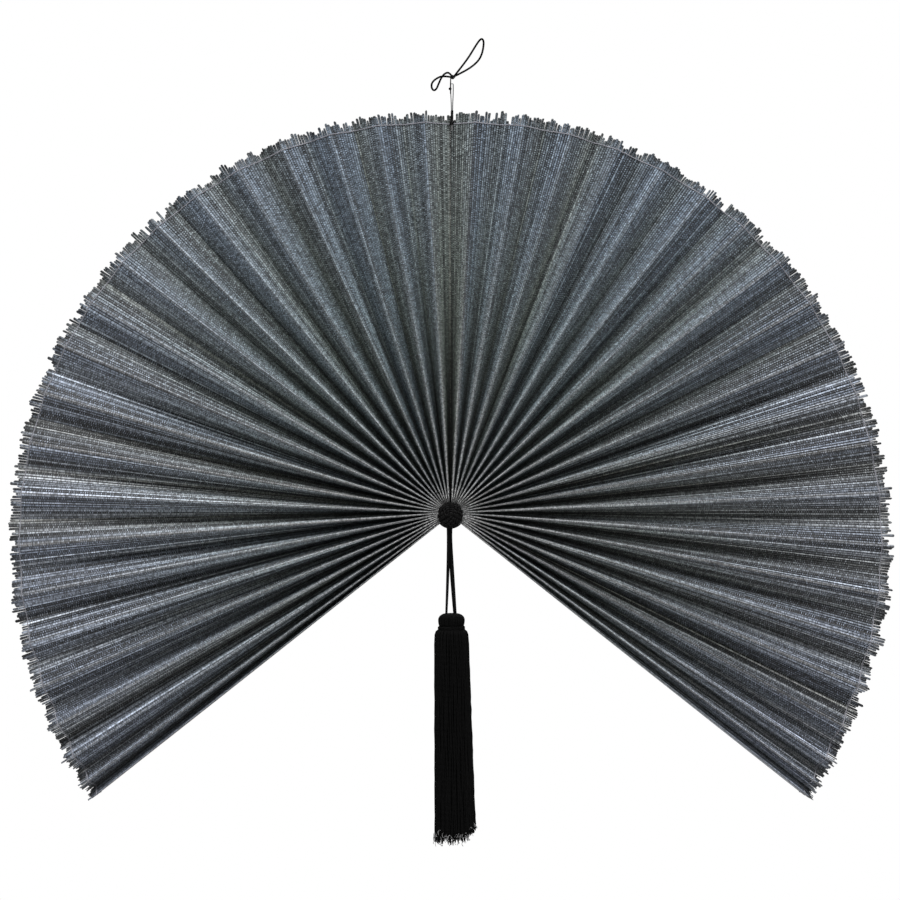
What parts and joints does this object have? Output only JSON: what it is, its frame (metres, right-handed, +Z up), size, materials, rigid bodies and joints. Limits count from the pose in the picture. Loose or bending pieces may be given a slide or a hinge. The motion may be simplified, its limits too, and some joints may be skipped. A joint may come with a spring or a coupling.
{
  "type": "pleated wall fan",
  "caption": "Large accordion-pleated wall fan of woven slivers, gathered at a corded hub with a knotted button, hanging tassel and wire eye.",
  "frame": {"origin": "centre of the hanging eye at the top of the fan", "axes": "+Z up, +X to the fan's right as seen from the front, front faces -Y"},
  "size_m": [0.8838, 0.0507, 0.803],
  "materials": {
    "mat": "satin",
    "black_cord": "satin",
    "tassel_yarn": "satin",
    "wire": "satin"
  },
  "bodies": {
    "hub": {"middle_fold": "mat", "hub_core": "black_cord", "gather_cord_front": "black_cord", "gather_cord_back": "black_cord", "pivot_cord": "black_cord", "front_button": "black_cord", "back_knot": "black_cord", "hanger_wire": "wire", "hanger_stitch": "black_cord", "stem_lashing": "black_cord", "bow_knot": "black_cord", "cord_tail": "black_cord", "cord_small_loop": "black_cord", "cord_long_loop": "black_cord"},
    "tassel": {"tassel_cord": "tassel_yarn", "tassel_head": "tassel_yarn", "tassel_binding": "tassel_yarn", "tassel_skirt": "tassel_yarn"},
    "pleat_21": {"pleat_21": "mat"},
    "pleat_20": {"pleat_20": "mat"},
    "pleat_19": {"pleat_19": "mat"},
    "pleat_18": {"pleat_18": "mat"},
    "pleat_17": {"pleat_17": "mat"},
    "pleat_16": {"pleat_16": "mat"},
    "pleat_15": {"pleat_15": "mat"},
    "pleat_14": {"pleat_14": "mat"},
    "pleat_13": {"pleat_13": "mat"},
    "pleat_12": {"pleat_12": "mat"},
    "pleat_11": {"pleat_11": "mat"},
    "pleat_10": {"pleat_10": "mat"},
    "pleat_09": {"pleat_09": "mat"},
    "pleat_08": {"pleat_08": "mat"},
    "pleat_07": {"pleat_07": "mat"},
    "pleat_06": {"pleat_06": "mat"},
    "pleat_05": {"pleat_05": "mat"},
    "pleat_04": {"pleat_04": "mat"},
    "pleat_03": {"pleat_03": "mat"},
    "pleat_02": {"pleat_02": "mat"},
    "pleat_01": {"pleat_01": "mat"},
    "pleat_22": {"pleat_22": "mat"},
    "pleat_23": {"pleat_23": "mat"},
    "pleat_24": {"pleat_24": "mat"},
    "pleat_25": {"pleat_25": "mat"},
    "pleat_26": {"pleat_26": "mat"},
    "pleat_27": {"pleat_27": "mat"},
    "pleat_28": {"pleat_28": "mat"},
    "pleat_29": {"pleat_29": "mat"},
    "pleat_30": {"pleat_30": "mat"},
    "pleat_31": {"pleat_31": "mat"},
    "pleat_32": {"pleat_32": "mat"},
    "pleat_33": {"pleat_33": "mat"},
    "pleat_34": {"pleat_34": "mat"},
    "pleat_35": {"pleat_35": "mat"},
    "pleat_36": {"pleat_36": "mat"},
    "pleat_37": {"pleat_37": "mat"},
    "pleat_38": {"pleat_38": "mat"},
    "pleat_39": {"pleat_39": "mat"},
    "pleat_40": {"pleat_40": "mat"},
    "pleat_41": {"pleat_41": "mat"},
    "pleat_42": {"pleat_42": "mat"}
  },
  "joints": [
    {"name": "left_fold_01", "type": "hinge", "parent": "hub", "child": "pleat_21", "pos_m": [-0.0024, -0.0026, -0.415], "axis": [0, 1, 0], "range_deg": [0, 3.51], "deforming": ["pleat_21"]},
    {"name": "left_fold_02", "type": "hinge", "parent": "pleat_21", "child": "pleat_20", "pos_m": [-0.00406, -0.0026, -0.41509], "axis": [0, 1, 0], "range_deg": [0, 7.03], "deforming": ["pleat_20"]},
    {"name": "left_fold_03", "type": "hinge", "parent": "pleat_20", "child": "pleat_19", "pos_m": [-0.00569, -0.0026, -0.41537], "axis": [0, 1, 0], "range_deg": [0, 7.03], "deforming": ["pleat_19"]},
    {"name": "left_fold_04", "type": "hinge", "parent": "pleat_19", "child": "pleat_18", "pos_m": [-0.00728, -0.0026, -0.41582], "axis": [0, 1, 0], "range_deg": [0, 7.02], "deforming": ["pleat_18"]},
    {"name": "left_fold_05", "type": "hinge", "parent": "pleat_18", "child": "pleat_17", "pos_m": [-0.00882, -0.0026, -0.41644], "axis": [0, 1, 0], "range_deg": [0, 7.02], "deforming": ["pleat_17"]},
    {"name": "left_fold_06", "type": "hinge", "parent": "pleat_17", "child": "pleat_16", "pos_m": [-0.01028, -0.0026, -0.41723], "axis": [0, 1, 0], "range_deg": [0, 7.02], "deforming": ["pleat_16"]},
    {"name": "left_fold_07", "type": "hinge", "parent": "pleat_16", "child": "pleat_15", "pos_m": [-0.01164, -0.0026, -0.41818], "axis": [0, 1, 0], "range_deg": [0, 7.02], "deforming": ["pleat_15"]},
    {"name": "left_fold_08", "type": "hinge", "parent": "pleat_15", "child": "pleat_14", "pos_m": [-0.01288, -0.0026, -0.41927], "axis": [0, 1, 0], "range_deg": [0, 7.02], "deforming": ["pleat_14"]},
    {"name": "left_fold_09", "type": "hinge", "parent": "pleat_14", "child": "pleat_13", "pos_m": [-0.014, -0.0026, -0.4205], "axis": [0, 1, 0], "range_deg": [0, 7.01], "deforming": ["pleat_13"]},
    {"name": "left_fold_10", "type": "hinge", "parent": "pleat_13", "child": "pleat_12", "pos_m": [-0.01498, -0.0026, -0.42183], "axis": [0, 1, 0], "range_deg": [0, 7], "deforming": ["pleat_12"]},
    {"name": "left_fold_11", "type": "hinge", "parent": "pleat_12", "child": "pleat_11", "pos_m": [-0.01581, -0.0026, -0.42327], "axis": [0, 1, 0], "range_deg": [0, 6.98], "deforming": ["pleat_11"]},
    {"name": "left_fold_12", "type": "hinge", "parent": "pleat_11", "child": "pleat_10", "pos_m": [-0.01647, -0.0026, -0.42479], "axis": [0, 1, 0], "range_deg": [0, 6.94], "deforming": ["pleat_10"]},
    {"name": "left_fold_13", "type": "hinge", "parent": "pleat_10", "child": "pleat_09", "pos_m": [-0.01696, -0.0026, -0.42638], "axis": [0, 1, 0], "range_deg": [0, 6.88], "deforming": ["pleat_09"]},
    {"name": "left_fold_14", "type": "hinge", "parent": "pleat_09", "child": "pleat_08", "pos_m": [-0.01727, -0.0026, -0.428], "axis": [0, 1, 0], "range_deg": [0, 6.77], "deforming": ["pleat_08"]},
    {"name": "left_fold_15", "type": "hinge", "parent": "pleat_08", "child": "pleat_07", "pos_m": [-0.0174, -0.0026, -0.42966], "axis": [0, 1, 0], "range_deg": [0, 6.59], "deforming": ["pleat_07"]},
    {"name": "left_fold_16", "type": "hinge", "parent": "pleat_07", "child": "pleat_06", "pos_m": [-0.01734, -0.0026, -0.43131], "axis": [0, 1, 0], "range_deg": [0, 6.33], "deforming": ["pleat_06"]},
    {"name": "left_fold_17", "type": "hinge", "parent": "pleat_06", "child": "pleat_05", "pos_m": [-0.01711, -0.0026, -0.43295], "axis": [0, 1, 0], "range_deg": [0, 5.93], "deforming": ["pleat_05"]},
    {"name": "left_fold_18", "type": "hinge", "parent": "pleat_05", "child": "pleat_04", "pos_m": [-0.01669, -0.0026, -0.43456], "axis": [0, 1, 0], "range_deg": [0, 5.36], "deforming": ["pleat_04"]},
    {"name": "left_fold_19", "type": "hinge", "parent": "pleat_04", "child": "pleat_03", "pos_m": [-0.0161, -0.0026, -0.43611], "axis": [0, 1, 0], "range_deg": [0, 4.55], "deforming": ["pleat_03"]},
    {"name": "left_fold_20", "type": "hinge", "parent": "pleat_03", "child": "pleat_02", "pos_m": [-0.01534, -0.0026, -0.43758], "axis": [0, 1, 0], "range_deg": [0, 3.41], "deforming": ["pleat_02"]},
    {"name": "left_fold_21", "type": "hinge", "parent": "pleat_02", "child": "pleat_01", "pos_m": [-0.01443, -0.0026, -0.43896], "axis": [0, 1, 0], "range_deg": [0, 1.85], "deforming": ["pleat_01"]},
    {"name": "right_fold_01", "type": "hinge", "parent": "hub", "child": "pleat_22", "pos_m": [-0.0008, -0.0026, -0.415], "axis": [0, -1, 0], "range_deg": [0, 3.51], "deforming": ["pleat_22"]},
    {"name": "right_fold_02", "type": "hinge", "parent": "pleat_22", "child": "pleat_23", "pos_m": [0.00086, -0.0026, -0.41509], "axis": [0, -1, 0], "range_deg": [0, 7.03], "deforming": ["pleat_23"]},
    {"name": "right_fold_03", "type": "hinge", "parent": "pleat_23", "child": "pleat_24", "pos_m": [0.00249, -0.0026, -0.41537], "axis": [0, -1, 0], "range_deg": [0, 7.03], "deforming": ["pleat_24"]},
    {"name": "right_fold_04", "type": "hinge", "parent": "pleat_24", "child": "pleat_25", "pos_m": [0.00408, -0.0026, -0.41582], "axis": [0, -1, 0], "range_deg": [0, 7.02], "deforming": ["pleat_25"]},
    {"name": "right_fold_05", "type": "hinge", "parent": "pleat_25", "child": "pleat_26", "pos_m": [0.00562, -0.0026, -0.41644], "axis": [0, -1, 0], "range_deg": [0, 7.02], "deforming": ["pleat_26"]},
    {"name": "right_fold_06", "type": "hinge", "parent": "pleat_26", "child": "pleat_27", "pos_m": [0.00708, -0.0026, -0.41723], "axis": [0, -1, 0], "range_deg": [0, 7.02], "deforming": ["pleat_27"]},
    {"name": "right_fold_07", "type": "hinge", "parent": "pleat_27", "child": "pleat_28", "pos_m": [0.00844, -0.0026, -0.41818], "axis": [0, -1, 0], "range_deg": [0, 7.02], "deforming": ["pleat_28"]},
    {"name": "right_fold_08", "type": "hinge", "parent": "pleat_28", "child": "pleat_29", "pos_m": [0.00968, -0.0026, -0.41927], "axis": [0, -1, 0], "range_deg": [0, 7.02], "deforming": ["pleat_29"]},
    {"name": "right_fold_09", "type": "hinge", "parent": "pleat_29", "child": "pleat_30", "pos_m": [0.0108, -0.0026, -0.4205], "axis": [0, -1, 0], "range_deg": [0, 7.01], "deforming": ["pleat_30"]},
    {"name": "right_fold_10", "type": "hinge", "parent": "pleat_30", "child": "pleat_31", "pos_m": [0.01178, -0.0026, -0.42183], "axis": [0, -1, 0], "range_deg": [0, 7], "deforming": ["pleat_31"]},
    {"name": "right_fold_11", "type": "hinge", "parent": "pleat_31", "child": "pleat_32", "pos_m": [0.01261, -0.0026, -0.42327], "axis": [0, -1, 0], "range_deg": [0, 6.98], "deforming": ["pleat_32"]},
    {"name": "right_fold_12", "type": "hinge", "parent": "pleat_32", "child": "pleat_33", "pos_m": [0.01327, -0.0026, -0.42479], "axis": [0, -1, 0], "range_deg": [0, 6.94], "deforming": ["pleat_33"]},
    {"name": "right_fold_13", "type": "hinge", "parent": "pleat_33", "child": "pleat_34", "pos_m": [0.01376, -0.0026, -0.42638], "axis": [0, -1, 0], "range_deg": [0, 6.88], "deforming": ["pleat_34"]},
    {"name": "right_fold_14", "type": "hinge", "parent": "pleat_34", "child": "pleat_35", "pos_m": [0.01407, -0.0026, -0.428], "axis": [0, -1, 0], "range_deg": [0, 6.77], "deforming": ["pleat_35"]},
    {"name": "right_fold_15", "type": "hinge", "parent": "pleat_35", "child": "pleat_36", "pos_m": [0.0142, -0.0026, -0.42966], "axis": [0, -1, 0], "range_deg": [0, 6.59], "deforming": ["pleat_36"]},
    {"name": "right_fold_16", "type": "hinge", "parent": "pleat_36", "child": "pleat_37", "pos_m": [0.01414, -0.0026, -0.43131], "axis": [0, -1, 0], "range_deg": [0, 6.33], "deforming": ["pleat_37"]},
    {"name": "right_fold_17", "type": "hinge", "parent": "pleat_37", "child": "pleat_38", "pos_m": [0.01391, -0.0026, -0.43295], "axis": [0, -1, 0], "range_deg": [0, 5.93], "deforming": ["pleat_38"]},
    {"name": "right_fold_18", "type": "hinge", "parent": "pleat_38", "child": "pleat_39", "pos_m": [0.01349, -0.0026, -0.43456], "axis": [0, -1, 0], "range_deg": [0, 5.36], "deforming": ["pleat_39"]},
    {"name": "right_fold_19", "type": "hinge", "parent": "pleat_39", "child": "pleat_40", "pos_m": [0.0129, -0.0026, -0.43611], "axis": [0, -1, 0], "range_deg": [0, 4.55], "deforming": ["pleat_40"]},
    {"name": "right_fold_20", "type": "hinge", "parent": "pleat_40", "child": "pleat_41", "pos_m": [0.01214, -0.0026, -0.43758], "axis": [0, -1, 0], "range_deg": [0, 3.41], "deforming": ["pleat_41"]},
    {"name": "right_fold_21", "type": "hinge", "parent": "pleat_41", "child": "pleat_42", "pos_m": [0.01123, -0.0026, -0.43896], "axis": [0, -1, 0], "range_deg": [0, 1.85], "deforming": ["pleat_42"]},
    {"name": "tassel_swing", "type": "hinge", "parent": "hub", "child": "tassel", "pos_m": [-0.0016, -0.0142, -0.43], "axis": [0, 1, 0], "range_deg": [-35, 35]}
  ],
  "couplings": [
    {"joint": "left_fold_02", "follows": "left_fold_01", "ratio": 1.9999},
    {"joint": "left_fold_03", "follows": "left_fold_01", "ratio": 1.9998},
    {"joint": "left_fold_04", "follows": "left_fold_01", "ratio": 1.9997},
    {"joint": "left_fold_05", "follows": "left_fold_01", "ratio": 1.9995},
    {"joint": "left_fold_06", "follows": "left_fold_01", "ratio": 1.9993},
    {"joint": "left_fold_07", "follows": "left_fold_01", "ratio": 1.999},
    {"joint": "left_fold_08", "follows": "left_fold_01", "ratio": 1.9982},
    {"joint": "left_fold_09", "follows": "left_fold_01", "ratio": 1.9966},
    {"joint": "left_fold_10", "follows": "left_fold_01", "ratio": 1.9934},
    {"joint": "left_fold_11", "follows": "left_fold_01", "ratio": 1.9872},
    {"joint": "left_fold_12", "follows": "left_fold_01", "ratio": 1.9761},
    {"joint": "left_fold_13", "follows": "left_fold_01", "ratio": 1.9571},
    {"joint": "left_fold_14", "follows": "left_fold_01", "ratio": 1.9259},
    {"joint": "left_fold_15", "follows": "left_fold_01", "ratio": 1.8767},
    {"joint": "left_fold_16", "follows": "left_fold_01", "ratio": 1.8012},
    {"joint": "left_fold_17", "follows": "left_fold_01", "ratio": 1.6889},
    {"joint": "left_fold_18", "follows": "left_fold_01", "ratio": 1.5258},
    {"joint": "left_fold_19", "follows": "left_fold_01", "ratio": 1.2938},
    {"joint": "left_fold_20", "follows": "left_fold_01", "ratio": 0.9703},
    {"joint": "left_fold_21", "follows": "left_fold_01", "ratio": 0.5268},
    {"joint": "right_fold_02", "follows": "right_fold_01", "ratio": 1.9999},
    {"joint": "right_fold_03", "follows": "right_fold_01", "ratio": 1.9998},
    {"joint": "right_fold_04", "follows": "right_fold_01", "ratio": 1.9997},
    {"joint": "right_fold_05", "follows": "right_fold_01", "ratio": 1.9995},
    {"joint": "right_fold_06", "follows": "right_fold_01", "ratio": 1.9993},
    {"joint": "right_fold_07", "follows": "right_fold_01", "ratio": 1.999},
    {"joint": "right_fold_08", "follows": "right_fold_01", "ratio": 1.9982},
    {"joint": "right_fold_09", "follows": "right_fold_01", "ratio": 1.9966},
    {"joint": "right_fold_10", "follows": "right_fold_01", "ratio": 1.9934},
    {"joint": "right_fold_11", "follows": "right_fold_01", "ratio": 1.9872},
    {"joint": "right_fold_12", "follows": "right_fold_01", "ratio": 1.9761},
    {"joint": "right_fold_13", "follows": "right_fold_01", "ratio": 1.9571},
    {"joint": "right_fold_14", "follows": "right_fold_01", "ratio": 1.9259},
    {"joint": "right_fold_15", "follows": "right_fold_01", "ratio": 1.8767},
    {"joint": "right_fold_16", "follows": "right_fold_01", "ratio": 1.8012},
    {"joint": "right_fold_17", "follows": "right_fold_01", "ratio": 1.6889},
    {"joint": "right_fold_18", "follows": "right_fold_01", "ratio": 1.5258},
    {"joint": "right_fold_19", "follows": "right_fold_01", "ratio": 1.2938},
    {"joint": "right_fold_20", "follows": "right_fold_01", "ratio": 0.9703},
    {"joint": "right_fold_21", "follows": "right_fold_01", "ratio": 0.5268}
  ]
}
